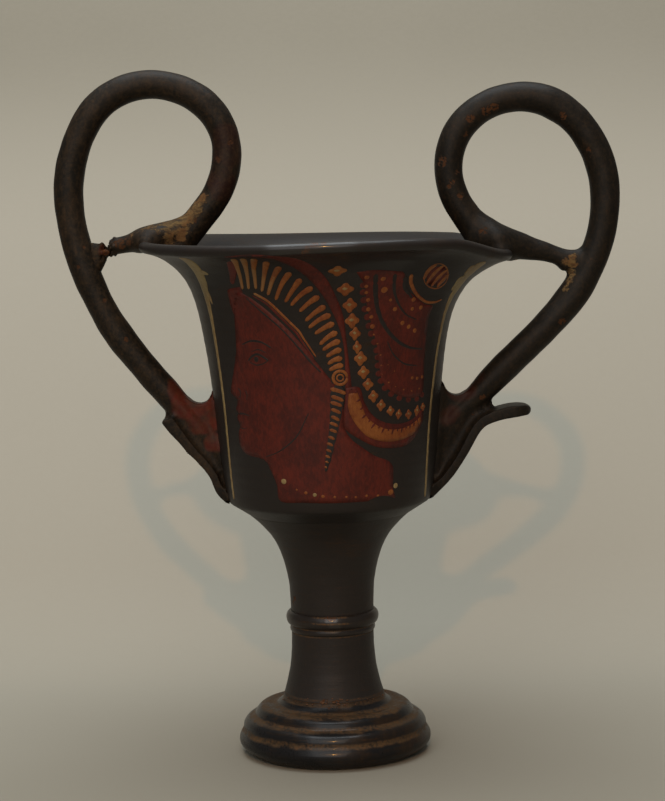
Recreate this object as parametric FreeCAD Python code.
"""A small red-figure kantharos of fired clay, a two-handled drinking cup on a tall stem.

Everything is in millimetres. The vessel's axis is Z and it stands on z = 0. The picture side
faces -Y, and the two handles lie in the plane y = 0, one towards -X and one towards +X.
The potter threw the bowl, the stem and the foot as separate pieces and luted them with slip,
then stuck on the handle coils, their struts, their roots and the leaf-shaped spurs.
"""
import FreeCAD, Part
import math
import os
from types import SimpleNamespace

# Bowl
wall_height = 79.0
lip_radius = 56.3
wall_thickness = 3.4
carination_rise = 3.8
carination_radius = 31.0
carination_round = 2.0
floor_thickness = 4.2
floor_round = 8.0

# Stem, with its two halves meeting under a moulded ring
stem_radius = 12.5
stem_head_radius = 24.6
stem_height = 56.3
stem_base_radius = 15.4
ring_half_height = 2.3
ring_overhang = 1.6
ring_fillet_height = 2.0
ring_fillet_overhang = 0.5

# Foot, three stepped mouldings over a hollow underside
foot_radius = 29.5
foot_height = 17.4
foot_equator_height = 3.6
lower_groove_radius = 28.0
lower_groove_height = 6.5
middle_groove_radius = 24.7
middle_groove_height = 11.0
upper_groove_radius = 19.1
upper_groove_height = 13.5
moulding_bulge = 1.3
foot_slope_hollow = 0.6
rest_inner_radius = 23.6
rest_outer_radius = 26.6
foot_hollow_radius = 11.0
foot_hollow_height = 11.0
foot_hollow_bulge = 2.5
foot_crown_height = 12.8
foot_crown_bulge = 0.6

# Slip that lutes one piece to the next
slip_thickness = 0.4

# Coils, roots and spurs shared by both handles
coil_diameter = 8.7
web_thickness = 6.6
hole_round = 4.2
spur_root_thickness = 2.2
spur_tip_thickness = 3.5
spur_width = 11.0
strut_root_diameter = 8.4
strut_neck_diameter = 5.2
strut_end_diameter = 6.3
seat_sink = 1.4

# Left handle, whose strut is snapped and whose spur is broken off
left_rise = 47.1
left_reach = 19.9
left_overhang = 27.7
left_inner_height = 27.0
left_outer_height = 15.0
left_seat_inset = 10.4
left_strut_inset = 12.3
left_strut_height = 1.9
left_strut_fall = 7.5
left_strut_arch = 2.2

# Right handle, which sits lower and leans further out, with its spur whole
right_rise = 41.0
right_reach = 28.2
right_overhang = 18.3
right_inner_height = 20.2
right_outer_height = 13.2
right_seat_inset = 8.2
right_strut_inset = 10.3
right_strut_height = 3.2
right_strut_fall = 11.0
right_strut_arch = -1.7

# Fracture across the left strut, a crack that opens upwards
stub_length = 9.4
fracture_gap = 0.3
fracture_mouth = 2.2

# Directions, in degrees
left_limb_angle = 50.0
left_bend_angle = 62.5
left_leg_angle = 50.5
right_limb_angle = 57.0
right_bend_angle = 49.0
right_leg_angle = 43.8

# Shares that shape the outlines, each pair running from one named point to the next. Those of
# the bends, legs and spurs are counted along the bowl's wall from its carination to its lip
ring_share = 0.43
loop_top_share = 0.47
left_neck_share = 0.60
left_bend_shares = (1.391, 0.729)
left_leg_shares = (0.846, 0.481)
left_spur_end_shares = (0.763, 0.309)
right_neck_share = 0.72
right_bend_shares = (1.490, 0.671)
right_leg_shares = (0.862, 0.476)
right_spur_end_shares = (1.213, 0.3215)
wall_flare_shares = ((0.0, 0.0), (0.157, 0.458), (0.228, 0.622), (0.345, 0.775),
                     (0.458, 0.852), (0.665, 0.921), (0.955, 0.960))
stem_flare_shares = ((0.0, 0.0), (0.012, 0.10), (0.035, 0.30), (0.10, 0.45), (0.215, 0.605),
                     (0.471, 0.80), (0.645, 0.878), (1.0, 1.0))
stem_taper_shares = ((1.0, 0.0), (0.62, 0.16), (0.19, 0.42), (0.02, 0.70), (0.0, 1.0))
left_spur_shares = ((0.0, 0.0), (0.09, 0.02), (0.23, 0.13), (0.31, 0.29), (0.42, 0.43),
                    (0.58, 0.575), (1.0, 1.0))
right_spur_shares = ((0.0, 0.0), (0.06, 0.03), (0.15, 0.12), (0.30, 0.335), (0.44, 0.61),
                     (0.515, 0.74), (0.60, 0.84), (0.80, 0.935), (0.965, 0.965))
spur_start_share = 0.8
strut_station_shares = ((0.0, 1.0), (0.45, 0.97), (0.80, 0.20), (1.0, 0.0))

axis = FreeCAD.Vector(0, 0, 1)
depth = FreeCAD.Vector(0, 1, 0)
origin = FreeCAD.Vector(0, 0, 0)
coil_radius = coil_diameter / 2
halvings = 40
touch_share = 0.001
stem_head_height = foot_height + stem_height
ring_height = foot_height + ring_share * stem_height
bowl_seat = stem_head_height + slip_thickness
carination_height = bowl_seat + carination_rise
rim_height = carination_height + wall_height

LEFT = SimpleNamespace(
    rise=left_rise, reach=left_reach, overhang=left_overhang,
    inner_height=left_inner_height, outer_height=left_outer_height, limb_angle=left_limb_angle,
    bend_shares=left_bend_shares, bend_angle=left_bend_angle,
    leg_shares=left_leg_shares, leg_angle=left_leg_angle, seat_inset=left_seat_inset,
    strut_inset=left_strut_inset, strut_height=left_strut_height, strut_fall=left_strut_fall,
    strut_arch=left_strut_arch, neck_share=left_neck_share, strut_whole=False,
    spur_end_shares=left_spur_end_shares, spur_shares=left_spur_shares, spur_whole=False)
RIGHT = SimpleNamespace(
    rise=right_rise, reach=right_reach, overhang=right_overhang,
    inner_height=right_inner_height, outer_height=right_outer_height, limb_angle=right_limb_angle,
    bend_shares=right_bend_shares, bend_angle=right_bend_angle,
    leg_shares=right_leg_shares, leg_angle=right_leg_angle, seat_inset=right_seat_inset,
    strut_inset=right_strut_inset, strut_height=right_strut_height, strut_fall=right_strut_fall,
    strut_arch=right_strut_arch, neck_share=right_neck_share, strut_whole=True,
    spur_end_shares=right_spur_end_shares, spur_shares=right_spur_shares, spur_whole=True)


# Points and curves in the plane y = 0, where x is the distance from the axis

def at(x, z):
    """A point by its distance from the axis and its height."""
    return FreeCAD.Vector(x, 0, z)


def heading(degrees):
    """A unit direction, counted from outwards towards up."""
    return at(math.cos(math.radians(degrees)), math.sin(math.radians(degrees)))


def left_of(way):
    """The direction a quarter turn to the left of a direction."""
    return at(-way.z, way.x)


def polyline(points):
    """Edges that join the points in order."""
    return [Part.makeLine(a, b) for a, b in zip(points, points[1:])]


def curve_through(points):
    """One smooth curve through the points."""
    curve = Part.BSplineCurve()
    curve.interpolate(points)
    return curve


def outline_face(edges):
    """The face inside a closed outline."""
    return Part.Face(Part.Wire(Part.__sortEdges__(edges)))


def revolve(edges):
    """A solid turned about the vessel's axis from a closed outline."""
    return outline_face(edges).revolve(origin, axis, 360)


def along(shares, start, end):
    """Points at shares of the way out and the way up from start to end."""
    return [at(start.x + out * (end.x - start.x), start.z + up * (end.z - start.z))
            for out, up in shares]


def bulged(start, end, bulge):
    """An arc that swells by the bulge to the right of the way from start to end."""
    middle = (start + end) * 0.5 - left_of((end - start).normalize()) * bulge
    return Part.Arc(start, middle, end).toShape()


def arc_from(start, way, end):
    """The arc that leaves start along a direction and reaches end."""
    chord = end - start
    across = left_of(way)
    centre = start + across * (chord.dot(chord) / (2 * across.dot(chord)))
    radius = (start - centre).Length
    middle = centre + ((start - centre) + (end - centre)).normalize() * radius
    return Part.Arc(start, middle, end).toShape()


def biarc(start, start_way, end, end_way):
    """Two arcs that join two points smoothly and keep both directions."""
    span = end - start
    a = 2 * (1 - start_way.dot(end_way))
    b = 2 * span.dot(start_way + end_way)
    reach = (-b + math.sqrt(b * b + 4 * a * span.dot(span))) / (2 * a)
    meet = (start + start_way * reach + end - end_way * reach) * 0.5
    return [arc_from(start, start_way, meet), arc_from(end, end_way * -1, meet)]


def rounded_corner(before, corner, after, radius):
    """The rounding of a corner: where it starts, its arc and where it ends."""
    back = (before - corner).normalize()
    ahead = (after - corner).normalize()
    half = back.getAngle(ahead) / 2
    start = corner + back * (radius / math.tan(half))
    end = corner + ahead * (radius / math.tan(half))
    centre = corner + (back + ahead).normalize() * (radius / math.sin(half))
    middle = centre + (corner - centre).normalize() * radius
    return start, Part.Arc(start, middle, end).toShape(), end


# Thrown pieces

def wall_places(shares):
    """Points at shares of the way out and up from the carination to the lip."""
    return along(shares, at(carination_radius, carination_height), at(lip_radius, rim_height))


def wall_points(offset):
    """The bowl's wall from the carination to the lip, moved out square to it by an offset."""
    points = wall_places(wall_flare_shares)
    curve = curve_through(points)
    tangents = [curve.tangent(curve.parameter(point))[0] for point in points]
    return [point - left_of(tangent) * offset for point, tangent in zip(points, tangents)]


def bowl_outside(grow):
    """The outside of the bowl from the middle of its underside to its lip, grown for slip."""
    wall = wall_points(grow)
    seat_edge = at(stem_head_radius, bowl_seat - grow)
    start, rounding, end = rounded_corner(seat_edge, wall[0], wall[1], carination_round)
    edges = polyline([at(0, bowl_seat - grow), seat_edge, start])
    return edges + [rounding, curve_through([end] + wall[1:]).toShape()], wall[-1]


def bowl_shell(grow):
    """The thrown bowl with its flaring wall and rounded lip, grown on every side for slip."""
    outside, lip_outer = bowl_outside(grow)
    floor = bowl_seat + floor_thickness + grow
    inner = [point for point in wall_points(-wall_thickness - grow) if point.z > floor + floor_round]
    upright = (inner[1] - inner[0]).normalize()
    low = inner[0] - upright * ((inner[0].z - floor - floor_round) / upright.z)
    floor_start = at(low.x - floor_round, floor)
    lip_tip = at(lip_radius + grow, (lip_outer.z + inner[-1].z) / 2)
    edges = outside + [Part.Arc(lip_outer, lip_tip, inner[-1]).toShape()]
    edges += [curve_through([low] + inner).toShape(), arc_from(floor_start, heading(0), low)]
    edges += polyline([floor_start, at(0, floor), at(0, bowl_seat - grow)])
    return revolve(edges)


def bowl_mass(grow):
    """The bowl with its mouth filled, for trimming what is stuck to its outside."""
    outside, lip_outer = bowl_outside(grow)
    return revolve(outside + polyline([lip_outer, at(0, lip_outer.z), at(0, bowl_seat - grow)]))


def stem_half(points):
    """One half of the stem inside its turned outline."""
    edges = [curve_through(points).toShape()]
    edges += polyline([points[-1], at(0, points[-1].z), at(0, points[0].z), points[0]])
    return revolve(edges)


def lower_stem():
    """The stem from the foot to the joint, spreading at its base."""
    return stem_half(along(stem_taper_shares, at(stem_radius, foot_height + slip_thickness),
                           at(stem_base_radius, ring_height - slip_thickness / 2)))


def upper_stem():
    """The stem from the joint to its trumpet-shaped head under the bowl."""
    return stem_half(along(stem_flare_shares, at(stem_radius, ring_height + slip_thickness / 2),
                           at(stem_head_radius, stem_head_height)))


def slip_layer(radius, bottom):
    """A round layer of slip between two thrown pieces."""
    return Part.makeCylinder(radius, slip_thickness, at(0, bottom))


def stem_ring(stem):
    """The moulded ring that covers the stem's joint, with a fillet under it."""
    top = at(stem_radius, ring_height + ring_half_height)
    bottom = at(stem_radius, ring_height - ring_half_height)
    low = bottom - at(0, ring_fillet_height)
    tip = at(stem_radius + ring_overhang, ring_height)
    low_tip = at(stem_radius + ring_fillet_overhang, (bottom.z + low.z) / 2)
    edges = [Part.Arc(top, tip, bottom).toShape(), Part.Arc(bottom, low_tip, low).toShape()]
    edges += polyline([low, at(0, low.z), at(0, top.z), top])
    ring = revolve(edges)
    for piece in stem:
        ring = ring.cut(piece)
    return ring


def foot():
    """The stepped foot with its three mouldings, its slope up to the stem and its hollow."""
    rest_inner = at(rest_inner_radius, 0)
    rest_outer = at(rest_outer_radius, 0)
    lower = at(lower_groove_radius, lower_groove_height)
    middle = at(middle_groove_radius, middle_groove_height)
    upper = at(upper_groove_radius, upper_groove_height)
    top = at(stem_base_radius, foot_height)
    hollow = at(foot_hollow_radius, foot_hollow_height)
    crown = at(0, foot_crown_height)
    edges = [Part.Arc(rest_outer, at(foot_radius, foot_equator_height), lower).toShape(),
             bulged(lower, middle, moulding_bulge), bulged(middle, upper, moulding_bulge),
             bulged(upper, top, -foot_slope_hollow),
             bulged(rest_inner, hollow, foot_hollow_bulge),
             bulged(hollow, crown, foot_crown_bulge)]
    edges += polyline([top, at(0, foot_height), crown])
    edges += polyline([rest_inner, rest_outer])
    return revolve(edges)


# Pieces stuck on by hand, each worked out towards +X and turned round for the left

def lip_inside_at(radius):
    """The point on the inside of the bowl's wall at a radius."""
    inner = curve_through(wall_points(-wall_thickness))
    low, high = inner.FirstParameter, inner.LastParameter
    for halving in range(halvings):
        middle = (low + high) / 2
        if inner.value(middle).x < radius:
            low = middle
        else:
            high = middle
    return inner.value(low)


def leg_point(stations, height):
    """The place of the outer leg's centre at a height between its widest point and its bend."""
    (outer, outer_way), (bend, bend_way) = stations[3:5]
    level = Part.makeLine(at(0, height), at(outer.x * 2, height))
    for edge in biarc(outer, outer_way, bend, bend_way):
        distance, pairs, info = edge.distToShape(level)
        if distance < coil_radius * touch_share:
            return pairs[0][0]


def handle_places(h):
    """The stations of one handle's coil, and the ends of its leg and its strut."""
    limb_way = heading(180 - h.limb_angle)
    leg_way = heading(180 + h.leg_angle)
    seat = lip_inside_at(lip_radius - h.seat_inset) - limb_way * seat_sink
    inner_reach = lip_radius - h.overhang
    outer_reach = lip_radius + h.reach
    top_reach = inner_reach + loop_top_share * (outer_reach - inner_reach)
    bend, leg_end = wall_places((h.bend_shares, h.leg_shares))
    stations = [(seat, limb_way),
                (at(inner_reach, rim_height + h.inner_height), heading(90)),
                (at(top_reach, rim_height + h.rise), heading(0)),
                (at(outer_reach, rim_height + h.outer_height), heading(-90)),
                (bend, heading(180 + h.bend_angle)),
                (leg_end, leg_way)]
    strut_start = at(lip_radius - h.strut_inset, rim_height + h.strut_height)
    strut_end = leg_point(stations, strut_start.z - h.strut_fall)
    return SimpleNamespace(stations=stations, leg_end=leg_end, leg_way=leg_way,
                           strut_start=strut_start, strut_end=strut_end)


def loop_coil(places):
    """The round coil from the lip, up and over, and down the outer leg."""
    edges = []
    for (start, start_way), (stop, stop_way) in zip(places.stations, places.stations[1:]):
        edges += biarc(start, start_way, stop, stop_way)
    path = Part.Wire(Part.__sortEdges__(edges))
    start, start_way = places.stations[0]
    section = Part.Wire(Part.makeCircle(coil_radius, start, start_way))
    return path.makePipeShell([section], True, False)


def strut_coil(h, places):
    """The tapered coil from the limb of the loop, over the lip, to the outer leg."""
    start, end = places.strut_start, places.strut_end
    sections = []
    for way_share, size_share in strut_station_shares:
        reach = way_share * h.neck_share
        size = strut_neck_diameter + size_share * (strut_root_diameter - strut_neck_diameter)
        centre = start + (end - start) * reach + at(0, h.strut_arch * 4 * reach * (1 - reach))
        sections.append(Part.Wire(Part.makeCircle(size / 2, centre, heading(0))))
    sections.append(Part.Wire(Part.makeCircle(strut_end_diameter / 2, end, heading(0))))
    return Part.makeLoft(sections, True, False)


def plate(edges, width):
    """A plate of an outline, as thick as the width and centred on the plane y = 0."""
    return outline_face(edges).translated(depth * (-width / 2)).extrude(depth * width)


def spur_lines(h):
    """The spur's lower curve and the points of its upper side, by its named sizes."""
    start = at(carination_radius - spur_start_share * carination_round, carination_height)
    lower = along(h.spur_shares, start, wall_places((h.spur_end_shares,))[0])
    curve = curve_through(lower)
    upper = []
    for point, (out, up) in zip(lower, h.spur_shares):
        thickness = spur_root_thickness + out * (spur_tip_thickness - spur_root_thickness)
        upper.append(point + left_of(curve.tangent(curve.parameter(point))[0]) * thickness)
    return curve, lower, upper


def spur_strap(h):
    """The leaf-shaped strap under the root: rounded at a whole tip, flat where it is broken."""
    curve, lower, upper = spur_lines(h)
    edges = [curve.toShape(), curve_through(upper).toShape(), Part.makeLine(upper[0], lower[0])]
    if h.spur_whole:
        way = curve.tangent(curve.LastParameter)[0]
        nose = (lower[-1] + upper[-1]) * 0.5 + way * (spur_tip_thickness / 2)
        edges.append(Part.Arc(lower[-1], nose, upper[-1]).toShape())
        return plate(edges, spur_width).common(leaf_outline(nose.x))
    edges.append(Part.makeLine(lower[-1], upper[-1]))
    return plate(edges, spur_width)


def leaf_outline(tip):
    """An upright block with a rounded end, which gives the spur its leaf-shaped tip."""
    radius = spur_width / 2
    height = rim_height - bowl_seat
    block = Part.makeBox(tip - radius, spur_width, height, FreeCAD.Vector(0, -radius, bowl_seat))
    end = Part.makeCylinder(radius, height, at(tip - radius, bowl_seat))
    return block.fuse(end)


def crossing(first, way, second, other):
    """The point where two straight lines meet."""
    span = second - first
    share = (span.x * other.z - span.z * other.x) / (way.x * other.z - way.z * other.x)
    return first + way * share


def root_mass(h, places):
    """The leg run on to the wall, with webs of clay between it, the wall and the spur."""
    low, high = wall_points(0)[:2]
    wall_way = (high - low).normalize()
    outward = left_of(wall_way) * -1
    hole_way = left_of(places.leg_way) * -1
    hole = crossing(low + outward * hole_round, wall_way,
                    places.leg_end + hole_way * (coil_radius + hole_round), places.leg_way)
    on_leg = hole - hole_way * hole_round
    on_wall = hole - outward * hole_round
    bottom = hole - (hole_way + outward).normalize() * hole_round
    curve, lower, upper = spur_lines(h)
    gaps = [(point - places.leg_end).dot(left_of(places.leg_way)) for point in upper]
    notch = gaps.index(min(gaps))
    middle = [(a + b) * 0.5 for a, b in zip(lower, upper)]
    in_wall = on_wall - outward * wall_thickness
    points = [on_wall, in_wall, low - outward * wall_thickness] + middle[:notch]
    points += [upper[notch], upper[notch] - left_of(places.leg_way) * gaps[notch],
               on_leg - hole_way * coil_radius, on_leg]
    web = plate(polyline(points) + [Part.Arc(on_leg, bottom, on_wall).toShape()], web_thickness)
    reach = (crossing(low, wall_way, places.leg_end, places.leg_way) - places.leg_end).Length
    leg = Part.makeCylinder(coil_radius, reach + coil_radius, places.leg_end, places.leg_way)
    return leg.fuse(web).cut(spur_and_below(lower, upper))


def spur_and_below(lower, upper):
    """The space of a spur and all that lies below it."""
    outer = at(rim_height, lower[-1].z)
    points = [upper[-1], lower[-1], outer, at(outer.x, 0), origin, at(0, upper[0].z), upper[0]]
    edges = [curve_through(upper).toShape()] + polyline(points)
    return plate(edges, coil_diameter * 2)


def fracture(places):
    """The wedge of air in the broken strut, a crack that opens upwards."""
    reach = places.strut_end.x - stub_length
    low = rim_height - strut_root_diameter
    high = rim_height + strut_root_diameter
    points = [at(reach - fracture_gap / 2, low), at(reach + fracture_gap / 2, low),
              at(reach + fracture_mouth, high), at(reach - fracture_gap, high)]
    return plate(polyline(points + points[:1]), strut_root_diameter * 2)


def handle_pieces(h):
    """Every piece of one handle by its name, worked out towards +X."""
    places = handle_places(h)
    loop_raw = loop_coil(places)
    strut_raw = strut_coil(h, places)
    spur_raw = spur_strap(h)
    root_raw = root_mass(h, places)
    lip_slip, mass_slip = bowl_shell(slip_thickness), bowl_mass(slip_thickness)
    lip_skin, wall_skin = lip_slip.cut(bowl_shell(0)), mass_slip.cut(bowl_mass(0))
    pieces = {
        "handle_loop": loop_raw.cut(lip_slip),
        "handle_root": root_raw.cut(loop_raw).cut(mass_slip),
        "spur": spur_raw.cut(mass_slip),
        "rim_slip": loop_raw.common(lip_skin),
        "strut_slip": strut_raw.cut(loop_raw).common(lip_skin),
        "wall_slip": root_raw.fuse(spur_raw).common(wall_skin),
    }
    strut = strut_raw.cut(loop_raw).cut(lip_slip)
    if h.strut_whole:
        pieces["strut"] = strut
    else:
        inner, outer = sorted(strut.cut(fracture(places)).Solids, key=lambda solid: solid.CenterOfMass.x)
        pieces["strut"] = inner
        pieces["strut_stub"] = outer
    return pieces


# Every piece under the name that a person would use

stem = {
    "lower_stem": lower_stem(),
    "stem_joint_slip": slip_layer(stem_radius, ring_height - slip_thickness / 2),
    "upper_stem": upper_stem(),
}
parts = {
    "foot": foot(),
    "foot_joint_slip": slip_layer(stem_base_radius, foot_height),
    **stem,
    "stem_ring": stem_ring(stem.values()),
    "bowl_joint_slip": slip_layer(stem_head_radius, stem_head_height),
    "bowl": bowl_shell(0),
}
for name, shape in handle_pieces(LEFT).items():
    parts["left_" + name] = shape.rotated(origin, axis, 180)
for name, shape in handle_pieces(RIGHT).items():
    parts["right_" + name] = shape

os.makedirs("parts", exist_ok=True)
for name, shape in parts.items():
    shape.exportStep("parts/" + name + ".step")
    print(name, "solids", len(shape.Solids), "volume", round(shape.Volume, 1))
